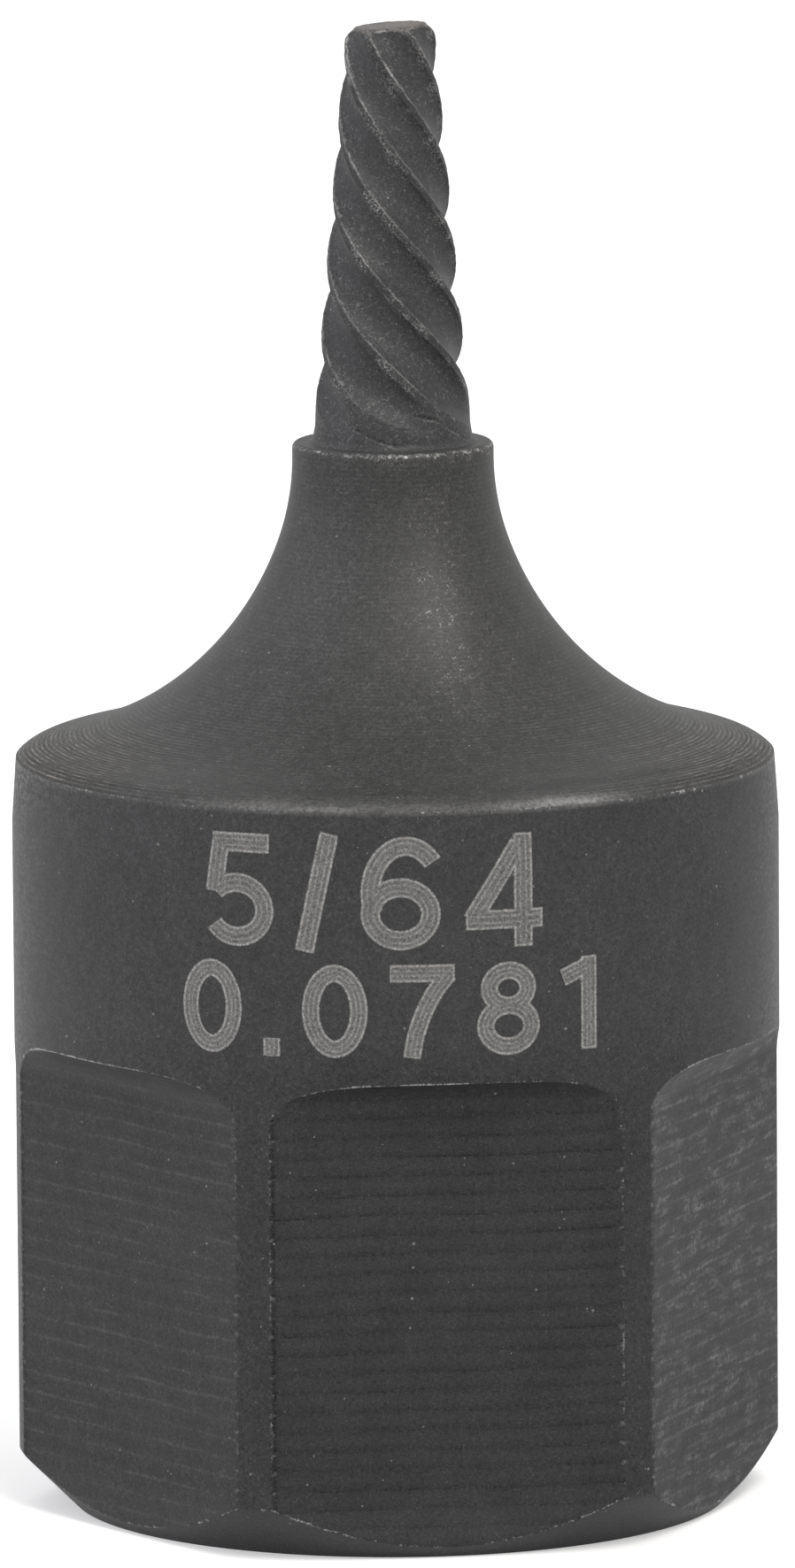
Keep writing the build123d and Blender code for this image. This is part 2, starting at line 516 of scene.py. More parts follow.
def flare(skin, foot, angle, radii, heights):
    """Shoulder, rim, flare and neck ring, on the columns of the body."""
    runs = np.cumsum(np.hypot(np.diff(radii), np.diff(heights)))
    rings = [foot]
    for radius, height, run in zip(radii[1:], heights[1:], runs):
        looks = flare_looks(radius, height, angle, heights[0])
        x, y = radius * cosd(angle), radius * sind(angle)
        rings.append(skin.ring(x, y, height, along=run, **looks))
    return skin.stack(rings)


# Tip


def flute_section(z):
    """Cone radius at a height, with the groove's centre, radius and half opening."""
    radius = TIP_END_RADIUS + (TIP_END_HEIGHT - z) * TIP_TAPER
    half = np.radians((FLUTE_PITCH - LAND_ANGLE) / 2)
    floor = radius * FLUTE_FLOOR_SHARE
    sagitta = radius * np.cos(half) - floor
    section = ((radius * np.sin(half)) ** 2 + sagitta**2) / (2 * sagitta)
    full_lift = TIP_BASE_RADIUS * (1 - FLUTE_FLOOR_SHARE) + FLUTE_CLEARANCE
    wheel = (RUNOUT_LENGTH**2 + full_lift**2) / (2 * full_lift)
    below = np.clip(FLUTE_BOTTOM + RUNOUT_LENGTH - z, 0.0, RUNOUT_LENGTH)
    centre = floor + section + wheel - np.sqrt(wheel**2 - below**2)
    cosine = (radius**2 + centre**2 - section**2) / (2 * radius * centre)
    return radius, centre, section, np.degrees(np.arccos(np.clip(cosine, -1.0, 1.0)))


def groove_radius(psi, centre, section):
    """How far from the axis a groove is, at angles from its middle."""
    inside = section**2 - (centre * sind(psi)) ** 2
    near = centre * cosd(psi) - np.sqrt(np.clip(inside, 0.0, None))
    return np.where((inside > 0) & (np.abs(psi) < 45.0), near, UNCUT_RADIUS)


def flute_turn(z):
    """Angle of the first flute's middle at a height."""
    return FLUTE_ANGLE_AT_END + (TIP_END_HEIGHT - z) * 360.0 / FLUTE_LEAD


def turned_radius(cone, z):
    """Radius of the taper before its flutes, with the end's and the root's chamfers."""
    chamfer = TIP_END_RADIUS - TIP_END_CHAMFER + (TIP_END_HEIGHT - z) * END_CHAMFER_SLOPE
    root = NECK_HEIGHT + TIP_ROOT_CHAMFER - z
    return smooth_min(cone, chamfer, END_WEAR) + (np.sqrt(root**2 + ROOT_WEAR**2) + root) / 2


def tip_heights():
    runout_top = FLUTE_BOTTOM + RUNOUT_LENGTH
    runout = np.linspace(NECK_HEIGHT, runout_top, 34)
    fluted = np.linspace(runout_top, TIP_END_HEIGHT - 0.4, 100)[1:]
    end = TIP_END_HEIGHT - np.array([0.33, 0.27, 0.21, 0.16, 0.12, 0.085, 0.055])
    return np.concatenate([runout, fluted, end])


def tilt(x, y):
    """How much lower the worn end face lies, most towards -X."""
    return END_TILT * (1.0 - (x * 0.95 - y * 0.3) / TIP_END_RADIUS) - END_RISE


def tip(skin, neck_ring):
    """Fluted taper, from the neck's top face to the worn end."""
    groove = sind(np.linspace(-90.0, 90.0, 23)[:-1])
    land = np.linspace(0.0, 1.0, 11)[:-1]
    on_land = np.tile(np.arange(len(groove) + len(land)) >= len(groove), FLUTE_COUNT)
    start = np.repeat(FLUTE_PITCH * np.arange(FLUTE_COUNT), len(groove) + len(land))
    rings = []
    for z in tip_heights():
        cone, centre, section, opening = flute_section(z)
        cone = turned_radius(cone, z)
        across = np.concatenate([groove * opening, opening + land * (FLUTE_PITCH - 2 * opening)])
        psi = np.tile(across, FLUTE_COUNT)
        angle = psi + start + flute_turn(z)
        softened = ramp(z, FLUTE_BOTTOM + 1.5, FLUTE_BOTTOM + 0.2)
        wear_width = RIDGE_WEAR + RUNOUT_WEAR * softened**1.5
        radius = smooth_min(cone, groove_radius(psi, centre, section), wear_width)
        x, y = radius * cosd(angle), radius * sind(angle)
        gap = np.where(on_land, 0.0, opening - np.abs(psi))
        ridge = bell(np.radians(gap) * cone, RIDGE_LINE) * (1.0 - softened)
        end = bell(z - TIP_END_HEIGHT + 0.03, 0.09)
        radius = radius + (rough_noise(x, y, z, 0.09, 3.0) - 0.2) * RIDGE_BRUISE * ridge
        radius = radius + (rough_noise(x, y, z, 0.12, 7.0) - 0.3) * END_BRUISE * end
        x, y = radius * cosd(angle), radius * sind(angle)
        looks = {
            "rough": np.clip(0.3 * ridge + end, 0.0, 1.0),
            "wear": 0.5 * bell(z - TIP_END_HEIGHT + 0.06, 0.05),
            "along": z,
            "dark": 0.1,
            "speckle": 1.2,
        }
        height = z - tilt(x, y) * ramp(z, 33.5, TIP_END_HEIGHT)
        rings.append(skin.ring(x, y, height, **looks))
    skin.lace(neck_ring, rings[0])
    return skin.stack(rings)


def tip_end(skin, last):
    """The tip's worn end face."""
    edge = np.array([skin.points[i] for i in last])
    looks = {"rough": 1.0, "speckle": 1.0}
    rings = [last]
    for share, drop in END_FACE_RINGS:
        x, y = edge[:, 0] * share, edge[:, 1] * share
        bumps = END_FACE_BUMP * rough_noise(x, y, 0.0, 0.16, 5.0)
        height = TIP_END_HEIGHT - drop - tilt(x, y) + bumps
        rings.append(skin.ring(x, y, height, **looks))
    skin.close(skin.stack(rings), 0.0, 0.0, TIP_END_HEIGHT - tilt(0.0, 0.0), **looks)


# The whole extractor


def in_socket(corners):
    """True for the polygons of the base ring and of the drive socket above it."""
    radius = np.hypot(corners[:, 0], corners[:, 1])
    inside = radius.max() < BASE_RADIUS + 0.002 and radius.mean() < BASE_RADIUS - 0.02
    return inside and corners[:, 2].max() < SOCKET_TOP


def extractor():
    skin = Skin()
    radii, heights = flare_profile()
    crown_foot = heights[0] - CROWN_LENGTH
    foot, angle = body_wall(skin, crown_foot, heights[0])
    neck_ring = flare(skin, foot, angle, radii, heights)
    tip_end(skin, tip(skin, neck_ring))
    skin.add_mesh(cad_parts[NODE].data, in_socket, speckle=0.3)
    piece = skin.piece("extractor_steel")
    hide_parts(NODE)
    return piece, crown_foot


# Size marking


def line(*ends):
    """Points along a straight stroke."""
    (x0, y0), (x1, y1) = ends
    share = np.linspace(0.0, 1.0, 25)
    return np.column_stack([x0 + (x1 - x0) * share, y0 + (y1 - y0) * share])


def arc(middle, half_width, half_height, start=0.0, end=360.0):
    """Points along a stroke that follows an ellipse."""
    turn = np.linspace(start, end, 73)
    x, y = middle
    return np.column_stack([x + half_width * cosd(turn), y + half_height * sind(turn)])


def bend(start, pull, end):
    """Points along a stroke that curves towards a pulling point."""
    share = np.linspace(0.0, 1.0, 49)[:, None]
    start, pull, end = np.array(start), np.array(pull), np.array(end)
    return start * (1 - share) ** 2 + 2 * pull * share * (1 - share) + end * share**2


def sign_strokes(sign, half):
    """Width and strokes of a sign of cap height 1, for a stroke's half width."""
    top = 1.0 - half
    waist = 0.53
    bar = 0.25
    if sign == "0":
        return 0.64, [arc((0.32, 0.5), 0.32 - half, 0.5 - half)]
    if sign == "1":
        return 0.4, [line((0.3, 0.0), (0.3, 1.0)), line((0.3, top), (0.03, 0.78))]
    if sign == "4":
        slope = line((0.43, top), (0.05, bar))
        return 0.62, [line((0.46, 0.0), (0.46, 1.0)), slope, line((0.0, bar), (0.62, bar))]
    if sign == "5":
        bowl = arc((0.305, 0.325), 0.315 - half, 0.325 - half, 142.0, -148.0)
        return 0.62, [line((0.09, top), (0.57, top)), line((0.165, top), (0.115, 0.47)), bowl]
    if sign == "6":
        bowl = arc((0.32, 0.32), 0.32 - half, 0.32 - half)
        return 0.64, [bowl, arc((0.36, 0.5), 0.36 - half, 0.5 - half, 40.0, 205.0)]
    if sign == "7":
        return 0.6, [line((0.0, top), (0.6, top)), bend((0.55, top), (0.26, 0.55), (0.2, 0.0))]
    if sign == "8":
        upper = arc((0.315, (top + waist) / 2), 0.28 - half, (top - waist) / 2)
        return 0.63, [upper, arc((0.315, (waist + half) / 2), 0.315 - half, (waist - half) / 2)]
    if sign == "/":
        return 0.3, [line((0.05, -0.02), (0.25, 1.02))]
    return 0.18, [line((0.09, 0.0), (0.09, 2 * half))]


def stroke_depth(points, stroke, half):
    """How deep points lie inside a stroke, and the nearest points that lie within it."""
    start, end = stroke[:-1], stroke[1:]
    along = end - start
    length = np.hypot(along[:, 0], along[:, 1])
    unit = along / length[:, None]
    offset = points[:, None, :] - start[None]
    reach = (offset * unit[None]).sum(-1)
    side = offset[..., 0] * unit[None, :, 1] - offset[..., 1] * unit[None, :, 0]
    kept = np.clip(reach, 0.0, length[None])
    nearest = np.hypot(reach - kept, side).argmin(1)
    rows = np.arange(len(points))
    reach, side, kept = reach[rows, nearest], side[rows, nearest], kept[rows, nearest]
    depth = half - np.hypot(reach - kept, side)
    if not np.allclose(stroke[0], stroke[-1], atol=1e-6):
        first, last = nearest == 0, nearest == len(length) - 1
        depth = np.where(first, np.minimum(half - np.abs(side), reach), depth)
        depth = np.where(last, np.minimum(half - np.abs(side), length[-1] - reach), depth)
    side = np.clip(side, -half, half)
    across = np.column_stack([unit[nearest, 1], -unit[nearest, 0]])
    inside = start[nearest] + unit[nearest] * kept[:, None] + across * side[:, None]
    return depth, inside


def sign_cells(strokes, width, size, half):
    """Grid over a sign: its points moved onto the strokes, their depths and the cells kept."""
    margin = 2 * MARKING_CELL
    columns = np.arange(-margin, width + margin, MARKING_CELL)
    rows = np.arange(-margin - 0.03 * size, size * 1.03 + margin, MARKING_CELL)
    points = np.stack(np.meshgrid(columns, rows), -1).reshape(-1, 2)
    found = [stroke_depth(points, stroke, half) for stroke in strokes]
    depths = np.array([depth for depth, _ in found])
    best = depths.argmax(0)
    depth = depths.max(0)
    moved = np.array([place for _, place in found])[best, np.arange(len(points))]
    points = np.where((depth > 0)[:, None], points, moved)
    numbers = np.arange(len(points)).reshape(len(rows), len(columns))
    corners = [numbers[:-1, :-1], numbers[:-1, 1:], numbers[1:, 1:], numbers[1:, :-1]]
    cells = np.stack([corner.ravel() for corner in corners], -1)
    cells = cells[(depth[cells] > 0).any(1)]
    return points, np.clip(depth, 0.0, None), cells


def marking(crown_foot):
    """The tool's size, etched on the body in plain numbers."""
    skin = Skin()
    for text, size, foot, stroke, wide, gap, middle in MARKING:
        signs = [sign_strokes(sign, stroke / 2 / size) for sign in text]
        total = sum(width * wide for width, _ in signs) + gap * (len(signs) - 1)
        start = -total * size / 2
        for width, strokes in signs:
            scaled = [points * (wide * size, size) for points in strokes]
            points, depth, cells = sign_cells(scaled, width * wide * size, size, stroke / 2)
            z = foot + points[:, 1]
            radius = crown_radius(z, crown_foot) + MARKING_PROUD
            angle = middle + np.degrees((start + points[:, 0]) / BODY_RADIUS)
            numbers = skin.ring(radius * cosd(angle), radius * sind(angle), z, depth=depth)
            skin.faces.extend(map(tuple, numbers[cells].tolist()))
            start += (width * wide + gap) * size
    return skin.piece("size_marking")


# Materials


class Signal:
    """A number, vector or colour in a node tree. Arithmetic on it adds math nodes."""

    def __init__(self, nodes, socket):
        self.nodes = nodes
        self.socket = socket

    def __add__(self, other):
        return self.nodes.math("ADD", self, other)

    def __sub__(self, other):
        return self.nodes.math("SUBTRACT", self, other)

    def __mul__(self, other):
        return self.nodes.math("MULTIPLY", self, other)

    def __truediv__(self, other):
        return self.nodes.math("DIVIDE", self, other)


class Nodes:
    """The node tree of a material or world, built by short calls."""

    def __init__(self, owner):
        owner.use_nodes = True
        self.tree = owner.node_tree
        self.tree.nodes.clear()

    def node(self, kind, inputs=(), **settings):
        """Adds a node, with signals linked to its inputs and plain values set there."""
        made = self.tree.nodes.new(kind)
        for key, value in settings.items():
            setattr(made, key, value)
        for key, value in dict(inputs).items():
            if isinstance(value, Signal):
                self.tree.links.new(value.socket, made.inputs[key])
            else:
                made.inputs[key].default_value = value
        return made

    def add(self, kind, inputs=(), output=0, **settings):
        """Adds a node and gives one of its outputs."""
        return Signal(self, self.node(kind, inputs, **settings).outputs[output])

    def math(self, operation, *values, clamp=False):
        inputs = dict(enumerate(values))
        return self.add("ShaderNodeMath", inputs, operation=operation, use_clamp=clamp)

    def highest(self, first, *others):
        for other in others:
            first = self.math("MAXIMUM", first, other)
        return first

    def vector(self, operation, *values):
        output = "Value" if operation == "DOT_PRODUCT" else "Vector"
        inputs = dict(enumerate(values))
        return self.add("ShaderNodeVectorMath", inputs, output, operation=operation)

    def scaled(self, vector, factor):
        inputs = {0: vector, "Scale": factor}
        return self.add("ShaderNodeVectorMath", inputs, operation="SCALE")

    def value(self, name):
        return self.add("ShaderNodeAttribute", output="Fac", attribute_name=name)

    def split(self, vector):
        parts = self.node("ShaderNodeSeparateXYZ", {0: vector}).outputs
        return [Signal(self, part) for part in parts]

    def noise(self, place, scale, detail=2.0, roughness=0.5):
        inputs = {"Vector": place, "Scale": scale, "Detail": detail, "Roughness": roughness}
        return self.add("ShaderNodeTexNoise", inputs, "Fac")

    def stretched_noise(self, place, scales, detail, roughness):
        return self.noise(self.vector("MULTIPLY", place, scales), 1.0, detail, roughness)

    def span(self, value, low, high, to_low=0.0, to_high=1.0):
        """The value carried from one range to another, and kept inside it."""
        inputs = {0: value, 1: low, 2: high, 3: to_low, 4: to_high}
        return self.add("ShaderNodeMapRange", inputs)

    def line(self, distance, half, fade):
        """1 within a half width of where the distance is 0, and 0 from the fade on."""
        return self.span(self.math("ABSOLUTE", distance), half, fade, 1.0, 0.0)

    def mix(self, share, a, b):
        return self.add("ShaderNodeMix", {0: share, 6: a, 7: b}, 2, data_type="RGBA")

    def bump(self, height, strength):
        inputs = {"Height": height, "Distance": MM, "Strength": strength}
        return self.add("ShaderNodeBump", inputs, "Normal")

    def principled(self, inputs):
        return self.add("ShaderNodeBsdfPrincipled", inputs)

    def seen_or_mirrored(self):
        """1 for rays from the camera, or from it by a mirror or glass, and 0 for soft light."""
        path = self.node("ShaderNodeLightPath").outputs
        rays = ("Is Camera Ray", "Is Glossy Ray", "Is Transmission Ray")
        return self.highest(*(Signal(self, path[name]) for name in rays))


def new_material(name):
    material = bpy.data.materials.new(name)
    return material, Nodes(material)


def grey(level, warmth=0.0):
    """A linear grey, warmer above 0 and cooler below."""
    return (level * (1 + warmth), level, level * (1 - warmth), 1.0)


# Colours: the coating's at a lightness of 1, and those of bare steel
BODY_COATING = (0.0418, 0.0419, 0.0431, 1.0)
FLARE_COATING = (0.0422, 0.042, 0.0415, 1.0)
# Coating under the painted sheen of the flare's far flanks
RIM_COATING = (0.0455, 0.043, 0.04, 1.0)
# Also the colour of the painted highlights on the shoulder and at the flutes' run-outs
WORN_STEEL = grey(0.33, 0.02)
DOT_STEEL = grey(0.23)
FLECK_STEEL = grey(0.17, 0.02)
SPARK_STEEL = grey(0.36, 0.02)
END_FACE_STEEL = grey(0.17, 0.1)
ETCHED_TINT = (1.0, 0.985, 0.96)


def millimetres(n):
    """The surface's own coordinates, in millimetres."""
    place = n.add("ShaderNodeTexCoord", output="Object")
    return n.vector("MULTIPLY", place, (1 / MM, 1 / MM, 1 / MM))


def milling_lines(n, m):
    """Cutter lines across a flat: place within each pass, and where its line shows."""
    warped = m.along + n.noise(m.place, 0.35) * 0.16 + n.noise(m.place, 2.5) * 0.05
    share = n.math("FRACT", warped / MILLING_PITCH)
    return share, n.stretched_noise(m.place, (0.4, 0.4, 5.0), 4.0, 0.7)


def ring_dashes(n, m):
    """Noise that is drawn out round the axis."""
    outward = n.vector("NORMALIZE", n.vector("MULTIPLY", m.place, (1.0, 1.0, 0.0)))
    lifted = n.add("ShaderNodeCombineXYZ", {"Z": m.along * 13.0})
    round_axis = n.vector("MULTIPLY", outward, (15.0, 15.0, 0.0))
    return n.noise(n.vector("ADD", round_axis, lifted), 1.0, 4.0, 0.72)


def turning_rings(n, m):
    """Fine rings that the turning tool left, in stretches."""
    wavering = (m.along + n.noise(m.place, 0.8) * 0.05) * (2 * np.pi)
    fine = n.span(n.math("SINE", wavering / TURNING_PITCH), 0.1, 1.0, -0.5, 1.6)
    rings = fine + n.math("SINE", wavering / TURNING_SWELL) * 0.25
    rings = rings * n.span(m.patch, 0.32, 0.6) * n.span(m.dashed, 0.4, 0.6, 0.25, 1.5)
    return rings * m.turned


def flute_phase(n, x, y, z):
    """Angle within a flute's pitch, and millimetres across a ridge for a degree of it."""
    bearing = n.math("ARCTAN2", y, x) * (180 / np.pi)
    turned = z * (360.0 / FLUTE_LEAD) + (-flute_turn(0.0) % FLUTE_PITCH + FLUTE_PITCH)
    phase = n.math("FRACT", (bearing + turned) / FLUTE_PITCH) * FLUTE_PITCH
    radius = z * -TIP_TAPER + (TIP_END_RADIUS + TIP_END_HEIGHT * TIP_TAPER)
    return phase, radius * (np.pi / 180 * RIDGE_SLANT)


def ridge_wear(n, m):
    """Bright crest lines along the ridges and their burrs, painted shade across each flute, and
    painted shade lines with painted highlight lips at the run-outs.
    """
    z = m.height
    phase, per_degree = flute_phase(n, *m.sideways, z)
    waver = (n.noise(m.place, 6.0, 3.0, 0.7) - 0.5) * 0.11
    land_end = (FLUTE_PITCH + LAND_ANGLE) / 2
    from_crest = (phase - land_end) * per_degree
    crest = n.line(from_crest + waver, 0.002, 0.032)
    burr = n.line(from_crest + 0.12, 0.05, 0.2) * n.span(n.noise(m.place, 1.3), 0.5, 0.66)
    fluted = n.span(z, FLUTE_BOTTOM + 0.6, FLUTE_BOTTOM + 1.3) * n.span(z, 34.86, 34.7)
    shown = n.span(m.patch + m.fine, 0.75, 1.25)
    bright = n.highest(crest * shown, burr * n.span(m.fine, 0.45, 0.65))
    bright = bright * fluted * n.span(z, 32.6, 34.4, 0.6, 1.2)

    past_crest = n.math("FRACT", (phase - land_end) / FLUTE_PITCH)
    # Painted shade across each flute: lighter after a crest, darker towards the next
    shade = n.span(past_crest, 0.3, 0.8, -0.12, 0.22) * fluted
    land = n.line(from_crest + 0.14, 0.03, 0.14) * n.span(m.patch, 0.3, 0.7, 0.1, 0.5) * fluted

    drift = n.noise(m.place, 0.9, 1.0) - 0.5
    streak = z + (phase * 0.018 + (-FLUTE_BOTTOM - 0.63)) + (waver * 0.7 + drift)
    across = n.span(phase, 7.0, 14.0) * n.span(phase, 40.0, 33.0)
    across = across * n.span(z, FLUTE_BOTTOM + 1.0, FLUTE_BOTTOM + 0.8)
    across = across * n.span(n.noise(m.place, 3.3, 3.0, 0.7), 0.38, 0.56)
    across = across * n.span(n.noise(m.place, 11.0, 3.0, 0.7), 0.36, 0.6, 0.35, 1.1)
    # Painted highlight on the lip of each groove's run-out
    lip = n.line(streak + 0.08, 0.0, 0.05) * across * shown
    bright = n.highest(bright, lip * 0.45)
    # Dark lands, painted flute shade and painted shade lines at the run-outs
    dark = n.highest(land + shade, n.line(streak, 0.0, 0.12) * across)
    in_tip = n.span(z, NECK_HEIGHT - 0.02, NECK_HEIGHT + 0.05)
    return bright * in_tip, dark * in_tip


def steel_marks(n):
    """The steel's values and the patterns that several of its layers share."""
    m = SimpleNamespace(**{name: n.value(name) for name in STEEL_VALUES})
    m.place = millimetres(n)
    *m.sideways, m.height = n.split(m.place)
    m.cloud = n.noise(m.place, 0.45, 3.0, 0.6)
    m.patch = n.noise(m.place, 1.7, 4.0, 0.65)
    m.grain = n.noise(m.place, 9.0, 3.0, 0.75)
    m.fine = n.noise(m.place, 21.0, 2.0, 0.7)
    m.streaks = n.stretched_noise(m.place, (2.6, 2.6, 0.8), 6.0, 0.75)
    m.smears = n.stretched_noise(m.place, (0.9, 0.9, 5.0), 4.0, 0.65)
    m.sparkle = n.stretched_noise(m.place, (9.0, 3.0, 9.0), 3.0, 0.75)
    m.share, m.dashes = milling_lines(n, m)
    # Scallop of each milling pass, a bump and painted shade
    m.cusp = n.math("POWER", n.math("ABSOLUTE", m.share - 0.5), 2.0) * m.milled
    m.dashed = ring_dashes(n, m)
    m.rings = turning_rings(n, m)
    # Crest wear and painted highlights, and dark lands with painted shade, on the tip
    m.ridge_bright, m.ridge_dark = ridge_wear(n, m)
    m.on_flare = n.math("GREATER_THAN", m.turned, 0.01)
    # The flare's far flanks, where painted sheen lies
    m.far_rim = n.span(m.turned, 1.0, 1.9)
    # Patch of painted highlight and burnishing on the flare
    m.burnish = (m.speckle - 0.55) * m.on_flare
    # Dark dashes along the milling lines, painted shadow on the flats painted unlit, and a faint
    # bump
    groove = n.line(m.share - 0.9, 0.02, 0.09) * n.span(m.dashes, 0.46, 0.62)
    m.groove = groove * m.milled * n.span(m.shine, 0.9, 0.0)
    return m


def coating_level(n, m):
    """Lightness of the coating: uneven and grainy, lighter where it is turned or has scuffs,
    with painted light and shade by height, on the neck, on a patch of the flare and as sheen on
    the far flanks and sides.
    """
    level = (m.cloud - 0.5) * 0.35 + 1.0 + (m.patch - 0.5) * 0.35
    level = level + (m.grain - 0.5) * 1.3 + (m.fine - 0.5) * 1.3
    # Painted light and shade by height
    for tone in HEIGHT_TONES:
        level = level + n.span(m.height, *tone)
    # Painted shade on the neck, under the upper flare's painted light
    level = level + m.on_flare * n.span(m.height, 23.4, 24.2, 0.0, -0.15)
    level = level + m.turned * 0.08 + m.milled * -0.06 + m.on_flare * -0.04
    # Painted highlight on a patch of the flare, and a darker coating under the far flanks'
    # painted sheen
    level = level + m.burnish * 0.38 + m.far_rim * -0.3

    # Scuffs and painted sheen at the sides seen edge-on
    scuffed = n.span(m.streaks, 0.35, 0.6, 0.5, 1.2) * n.span(m.sparkle, 0.44, 0.62, -0.7, 2.2)
    scuffed = scuffed * m.upright * n.span(m.cloud, 0.35, 0.65, 0.6, 1.3)
    # Bright dashes round the flare, partly painted sheen on the far flanks
    dashes = n.span(m.dashed, 0.5, 0.64) * n.span(m.grain, 0.4, 0.6, 0.4, 1.5)
    dashes = dashes * (m.speckle * 0.35 + m.far_rim * 0.8) * m.on_flare
    # Turning rings, with painted sheen on the far flanks
    return level + scuffed * 0.7 + dashes + m.rings * 0.4 + m.rings * m.far_rim * 0.4


def flat_marks(n, m):
    """Milling lines: painted shadow dashes on the flat painted unlit, painted highlight lines on
    the others, painted shade over each pass's scallop, and scuffs on a darker coating where the
    lines are painted most lit.
    """
    crest = n.line(m.share - 0.5, 0.03, 0.12) * m.milled * n.span(m.dashes, 0.42, 0.64)
    light = crest * m.shine * n.span(m.shine, 0.7, 1.0, 0.85, 1.05)
    light = light * n.span(m.grain, 0.3, 0.55) * n.span(m.patch, 0.3, 0.6, 0.35, 1.15)
    scuff = n.span(m.smears, 0.48, 0.62) * n.span(m.grain, 0.38, 0.58)
    scuff = scuff * n.span(m.patch, 0.38, 0.58, 0.15, 1.0)
    rubbed = m.milled * n.span(m.shine, 0.7, 1.0)
    # Painted shade over each scallop, and painted shadow dashes
    marks = m.cusp * n.span(m.shine, 0.0, 1.0, -0.65, -0.2) + m.groove * -0.26
    return marks + light * 1.3 + rubbed * -0.3 + scuff * rubbed * 2.3


def specks(n, m, colour):
    """Bare specks over a colour, denser on the turned and fluted steel."""
    cells = {"Vector": m.place, "Scale": 3.0, "Randomness": 1.0}
    distance = n.add("ShaderNodeTexVoronoi", cells, "Distance")
    size = n.span(n.noise(m.place, 3.1, 1.0), 0.4, 0.75, 0.03, 0.12)
    chosen = n.math("GREATER_THAN", n.noise(m.place, 1.1, 1.0), 0.5)
    dot = n.math("LESS_THAN", distance, size) * chosen
    peaks = n.span(m.fine * 0.6 + n.noise(m.place, 7.5, 4.0, 0.75) * 0.6, 0.64, 0.78)
    flecks = peaks * m.speckle * n.span(m.patch, 0.3, 0.62)
    # Bright bare specks, only on the flare's patch of painted highlight
    spark = n.span(peaks, 0.4, 0.8) * m.burnish * n.span(m.patch, 0.47, 0.54)
    face = n.span(m.rough, 0.5, 0.9) * n.span(m.grain, 0.3, 0.62)
    colour = n.mix(dot * 0.7, colour, DOT_STEEL)
    colour = n.mix(n.math("MULTIPLY", flecks, 0.8, clamp=True), colour, FLECK_STEEL)
    colour = n.mix(n.math("MULTIPLY", spark, 1.2, clamp=True), colour, SPARK_STEEL)
    return n.mix(face * 0.75, colour, END_FACE_STEEL)


def worn_edges(n, m):
    """How bare the edges are worn, in stretches, with the painted highlights on the shoulder and
    at the flutes' run-outs.
    """
    broken = n.noise(m.place, 5.5, 4.0, 0.75) + n.noise(m.place, 0.75) * 0.7
    broken = broken + (m.fine - 0.5) * 0.5
    worn = n.span(m.wear * 0.42 + broken, 1.02, 1.2) * n.span(m.wear, 0.04, 0.3)
    worn = worn * n.span(m.fine, 0.35, 0.62, 0.5, 1.1)
    glint = n.span(m.smears, 0.34, 0.64, 0.6, 1.35) * n.span(m.grain, 0.36, 0.6, 0.55, 1.4)
    tooth = n.line(m.share - 0.9, 0.05, 0.2) * m.brink * n.span(m.grain, 0.45, 0.6, 0.0, 0.3)
    return n.highest(worn, m.ridge_bright, m.polish * glint, tooth)


def relief(n, m):
    """Height of the fine texture, in millimetres."""
    height = m.cusp * -0.035 + m.groove * -0.005 + m.rings * 0.0025
    height = height + m.grain * 0.009 + m.fine * 0.004 + m.ridge_dark * -0.02
    height = height + n.noise(m.place, 7.0, 3.0, 0.7) * m.rough * 0.05
    return height + m.upright * m.sparkle * 0.02 + m.far_rim * m.dashed * 0.02


def black_steel():
    """Blackened steel: grainy, with milling lines, turning rings, worn bright edges, and painted
    light and shade.
    """
    material, n = new_material("blackened_steel")
    m = steel_marks(n)
    level = coating_level(n, m) + flat_marks(n, m) + (m.dark + m.ridge_dark) * -0.55
    coating = n.mix(m.far_rim, n.mix(m.on_flare, BODY_COATING, FLARE_COATING), RIM_COATING)
    worn = worn_edges(n, m)
    surface = n.principled(
        {
            "Base Color": n.mix(worn, specks(n, m, n.scaled(coating, level)), WORN_STEEL),
            "Metallic": 0.3,
            "Roughness": (m.grain - 0.5) * 0.25 + 0.56 + worn * -0.12,
            "Normal": n.bump(relief(n, m), 0.9),
            "Specular IOR Level": 0.25,
        }
    )
    n.node("ShaderNodeOutputMaterial", {"Surface": surface})
    return material


def etched_steel():
    """Steel bared by an engraving laser, in lines that follow each stroke's edge."""
    material, n = new_material("etched_steel")
    place, depth = millimetres(n), n.value("depth")
    fine = n.noise(place, 19.0, 3.0, 0.7)
    patch = n.noise(place, 2.2, 3.0, 0.6)
    passes = n.math("FRACT", ((fine - 0.5) * 0.05 + depth) / ETCHING_PITCH) - 0.36
    lines = n.line(passes, 0.06, 0.3) * (n.span(depth, 0.11, 0.07) * 0.5 + 0.5)
    grit = (fine - 0.5) * 3.2 + 1.0 + (patch - 0.5) * 0.3
    level = (lines * 0.14 + 0.133) * grit * n.span(depth, 0.0, 0.02, 0.6, 1.0)
    surface = n.principled(
        {
            "Base Color": n.scaled(ETCHED_TINT, level),
            "Metallic": 0.2,
            "Roughness": 0.6,
            "Specular IOR Level": 0.3,
            "Normal": n.bump(fine * 0.006, 0.8),
        }
    )
    n.node("ShaderNodeOutputMaterial", {"Surface": surface})
    return material


# Stage


